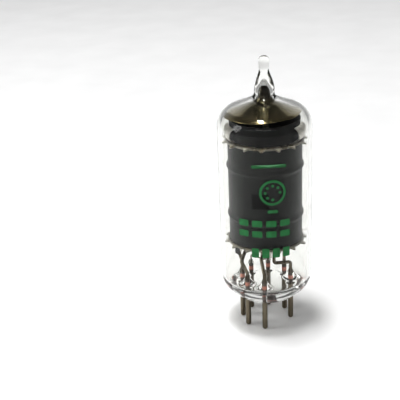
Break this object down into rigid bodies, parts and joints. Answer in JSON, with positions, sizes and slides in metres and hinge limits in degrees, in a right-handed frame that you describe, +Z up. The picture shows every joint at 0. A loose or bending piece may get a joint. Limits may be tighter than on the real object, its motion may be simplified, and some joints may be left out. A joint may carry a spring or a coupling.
{
  "type": "vacuum tube",
  "caption": "Miniature glass receiving tube with wire pins, mica-held electrode stack, dark shield can, getter mirror in the dome and a drawn glass tip.",
  "frame": {"origin": "on the tube's axis, in the plane of the pin tips", "axes": "+Z up along the tube's axis towards the glass tip, -Y through pin 7, +X through pin 1"},
  "size_m": [0.0176, 0.0176, 0.0537],
  "materials": {
    "glass": "clear soda-lime bulb glass, polished, with drawn streaks",
    "pin_metal": "nickel-iron pins and leads, dull, brown oxide",
    "seal_copper": "copper-sheathed sealing wire, reddish under glass",
    "mica": "translucent amber mica with a pale spray coat",
    "shield_grey": "carbonised sheet metal, dark grey satin",
    "anode_black": "carbonised nickel, near black",
    "grid_nickel": "drawn nickel rods and fine grid wire",
    "cathode_nickel": "seamless nickel sleeve",
    "oxide_white": "white oxide and alumina coating, matt",
    "nickel": "bright nickel ribbon and wire",
    "getter_charge": "fired getter residue, dark and grainy",
    "stamp_ink": "green stamped ink on the glass, worn",
    "getter_mirror": "dark barium mirror, olive-brown sheen"
  },
  "bodies": {
    "root": {"anode_back": "anode_black", "anode_front": "anode_black", "anode_tab": "nickel", "button_stem": "glass", "cathode_coating": "oxide_white", "cathode_ribbon": "nickel", "cathode_sleeve": "cathode_nickel", "control_grid": "grid_nickel", "control_grid_tab": "nickel", "getter_charge": "getter_charge", "getter_flash": "getter_mirror", "getter_ring": "nickel", "getter_support": "nickel", "glass_bulb": "glass", "heater": "oxide_white", "heater_tab_left": "nickel", "heater_tab_right": "nickel", "lead_1": "pin_metal", "lead_2": "pin_metal", "lead_3": "pin_metal", "lead_4": "pin_metal", "lead_5": "pin_metal", "lead_6": "pin_metal", "lead_7": "pin_metal", "lower_mica": "mica", "outer_shield": "shield_grey", "pin_1": "pin_metal", "pin_2": "pin_metal", "pin_3": "pin_metal", "pin_4": "pin_metal", "pin_5": "pin_metal", "pin_6": "pin_metal", "pin_7": "pin_metal", "rod_collars": "grid_nickel", "screen_grid": "grid_nickel", "screen_grid_tab": "nickel", "seal_wires": "seal_copper", "shield_link": "nickel", "shield_seam_strip": "shield_grey", "suppressor_grid": "grid_nickel", "top_collar": "anode_black", "top_saddle_left": "nickel", "top_saddle_right": "nickel", "upper_mica": "mica"}
  },
  "joints": []
}
